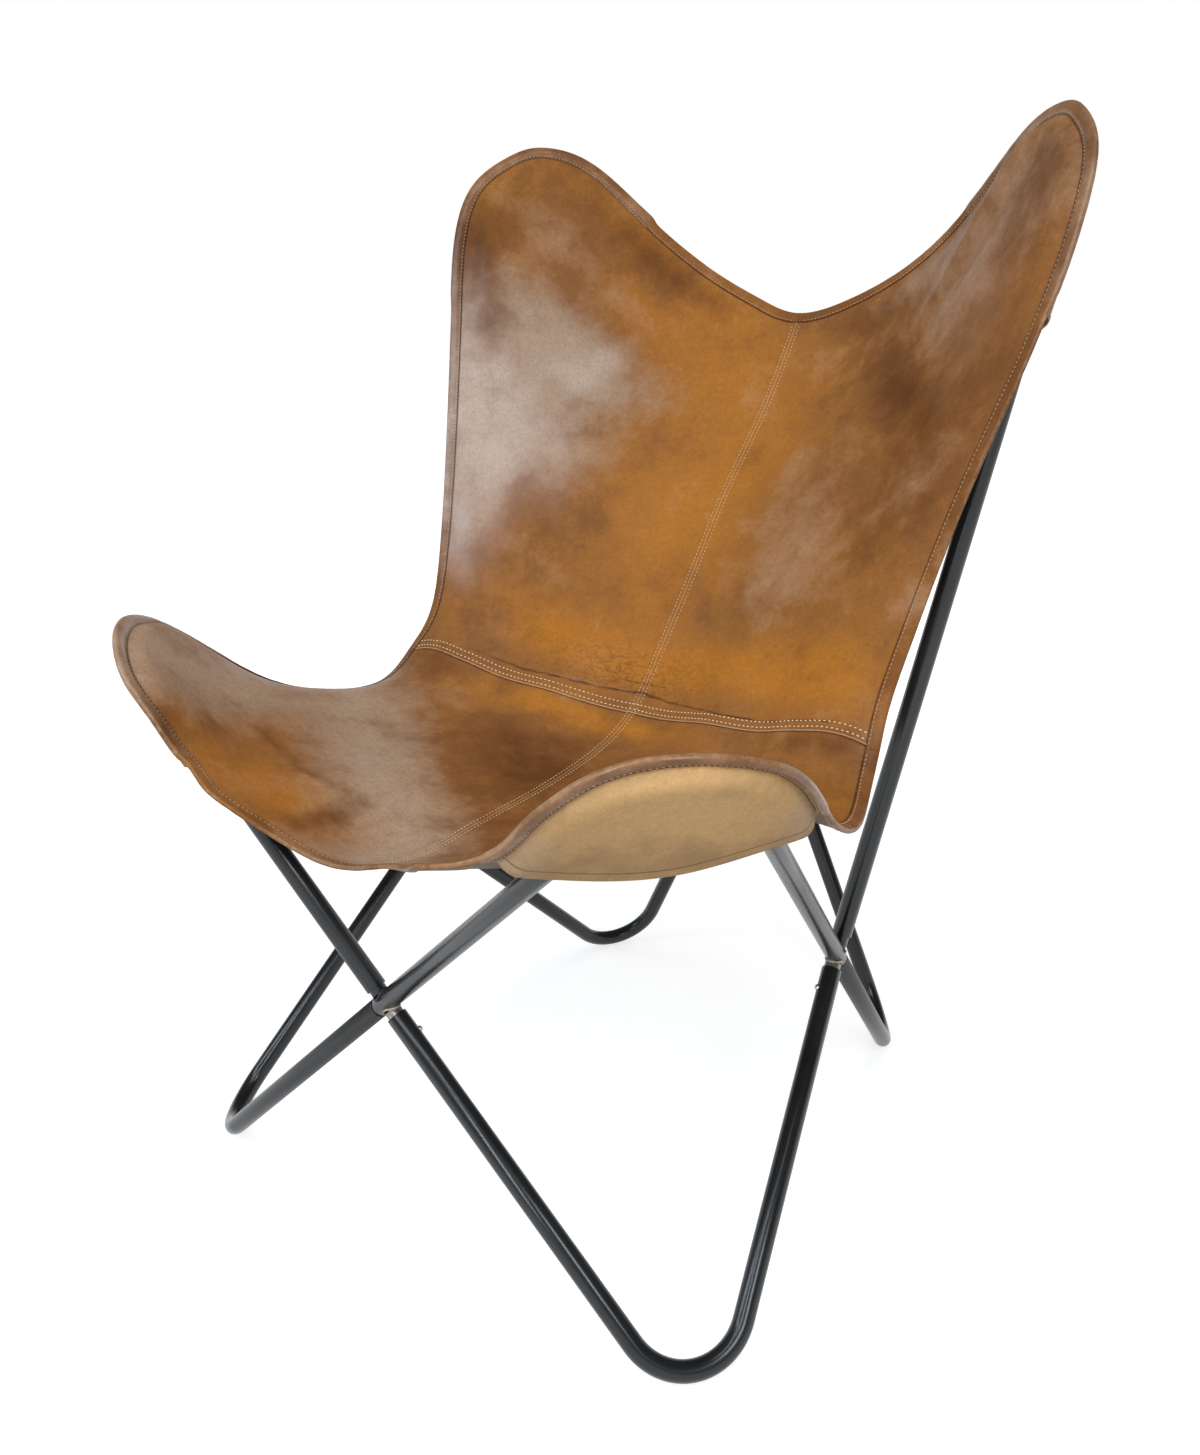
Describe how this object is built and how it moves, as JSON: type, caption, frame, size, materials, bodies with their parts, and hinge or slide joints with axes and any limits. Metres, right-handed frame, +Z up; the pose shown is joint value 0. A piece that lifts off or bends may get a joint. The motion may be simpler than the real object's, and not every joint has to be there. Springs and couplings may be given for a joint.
{
  "type": "butterfly sling chair",
  "caption": "Lounge chair with a brown leather sling hung by corner pockets on a black bent-tube frame; its feet plug on at the crossings and lock with snap buttons.",
  "frame": {"origin": "on the floor, on the middle plane of the chair, level with the side crossings, which is midway between the front and the back", "axes": "+Z up; -Y towards the front of the seat; +X to the right of the chair as seen from the front"},
  "size_m": [0.7526, 0.7933, 1.0357],
  "materials": {
    "frame_tube": "satin black powder coat",
    "joint_steel": "bare drawn steel",
    "button_steel": "polished steel",
    "spring_steel": "spring steel",
    "sling_leather": "glossy pull-up leather, brown with orange and grey mottles",
    "pocket_leather": "matt tan leather"
  },
  "bodies": {
    "chair": {"front_right_upper_frame": "frame_tube", "front_left_upper_frame": "frame_tube", "back_left_upper_frame": "frame_tube", "back_right_upper_frame": "frame_tube", "front_right_foot": "frame_tube", "front_left_foot": "frame_tube", "back_left_foot": "frame_tube", "back_right_foot": "frame_tube", "front_crossing_upper_stub": "frame_tube", "front_crossing_lower_stub": "joint_steel", "front_crossing_spigot": "joint_steel", "right_crossing_upper_stub": "frame_tube", "right_crossing_lower_stub": "joint_steel", "right_crossing_spigot": "joint_steel", "left_crossing_upper_stub": "frame_tube", "left_crossing_lower_stub": "joint_steel", "left_crossing_spigot": "joint_steel", "back_crossing_upper_stub": "frame_tube", "back_crossing_lower_stub": "joint_steel", "back_crossing_spigot": "joint_steel", "front_right_foot_front_spring_clip": "spring_steel", "front_right_foot_side_spring_clip": "spring_steel", "front_left_foot_front_spring_clip": "spring_steel", "front_left_foot_side_spring_clip": "spring_steel", "back_left_foot_back_spring_clip": "spring_steel", "back_left_foot_side_spring_clip": "spring_steel", "back_right_foot_back_spring_clip": "spring_steel", "back_right_foot_side_spring_clip": "spring_steel", "seat_panel_right": "sling_leather", "seat_panel_left": "sling_leather", "back_panel_right": "sling_leather", "back_panel_left": "sling_leather", "front_pocket_right": "pocket_leather", "front_pocket_left": "pocket_leather", "back_pocket_right": "pocket_leather", "back_pocket_left": "pocket_leather"},
    "front_right_foot_front_button_body": {"front_right_foot_front_button": "button_steel"},
    "front_right_foot_side_button_body": {"front_right_foot_side_button": "button_steel"},
    "front_left_foot_front_button_body": {"front_left_foot_front_button": "button_steel"},
    "front_left_foot_side_button_body": {"front_left_foot_side_button": "button_steel"},
    "back_left_foot_back_button_body": {"back_left_foot_back_button": "button_steel"},
    "back_left_foot_side_button_body": {"back_left_foot_side_button": "button_steel"},
    "back_right_foot_back_button_body": {"back_right_foot_back_button": "button_steel"},
    "back_right_foot_side_button_body": {"back_right_foot_side_button": "button_steel"}
  },
  "joints": [
    {"name": "front_right_foot_front_button_press", "type": "slide", "parent": "chair", "child": "front_right_foot_front_button_body", "axis": [-0.3038, -0.8784, -0.3689], "range_m": [0, 0.0045], "stiffness_N_per_m": 1500, "deforming": ["front_right_foot_front_spring_clip"]},
    {"name": "front_right_foot_side_button_press", "type": "slide", "parent": "chair", "child": "front_right_foot_side_button_body", "axis": [0.7709, 0.5138, -0.3766], "range_m": [0, 0.0045], "stiffness_N_per_m": 1500, "deforming": ["front_right_foot_side_spring_clip"]},
    {"name": "front_left_foot_front_button_press", "type": "slide", "parent": "chair", "child": "front_left_foot_front_button_body", "axis": [0.3038, -0.8784, -0.3689], "range_m": [0, 0.0045], "stiffness_N_per_m": 1500, "deforming": ["front_left_foot_front_spring_clip"]},
    {"name": "front_left_foot_side_button_press", "type": "slide", "parent": "chair", "child": "front_left_foot_side_button_body", "axis": [-0.7709, 0.5138, -0.3766], "range_m": [0, 0.0045], "stiffness_N_per_m": 1500, "deforming": ["front_left_foot_side_spring_clip"]},
    {"name": "back_left_foot_back_button_press", "type": "slide", "parent": "chair", "child": "back_left_foot_back_button_body", "axis": [0.4551, 0.8655, -0.2094], "range_m": [0, 0.0045], "stiffness_N_per_m": 1500, "deforming": ["back_left_foot_back_spring_clip"]},
    {"name": "back_left_foot_side_button_press", "type": "slide", "parent": "chair", "child": "back_left_foot_side_button_body", "axis": [-0.5986, -0.492, -0.6322], "range_m": [0, 0.0045], "stiffness_N_per_m": 1500, "deforming": ["back_left_foot_side_spring_clip"]},
    {"name": "back_right_foot_back_button_press", "type": "slide", "parent": "chair", "child": "back_right_foot_back_button_body", "axis": [-0.4551, 0.8655, -0.2094], "range_m": [0, 0.0045], "stiffness_N_per_m": 1500, "deforming": ["back_right_foot_back_spring_clip"]},
    {"name": "back_right_foot_side_button_press", "type": "slide", "parent": "chair", "child": "back_right_foot_side_button_body", "axis": [0.5986, -0.492, -0.6322], "range_m": [0, 0.0045], "stiffness_N_per_m": 1500, "deforming": ["back_right_foot_side_spring_clip"]}
  ]
}
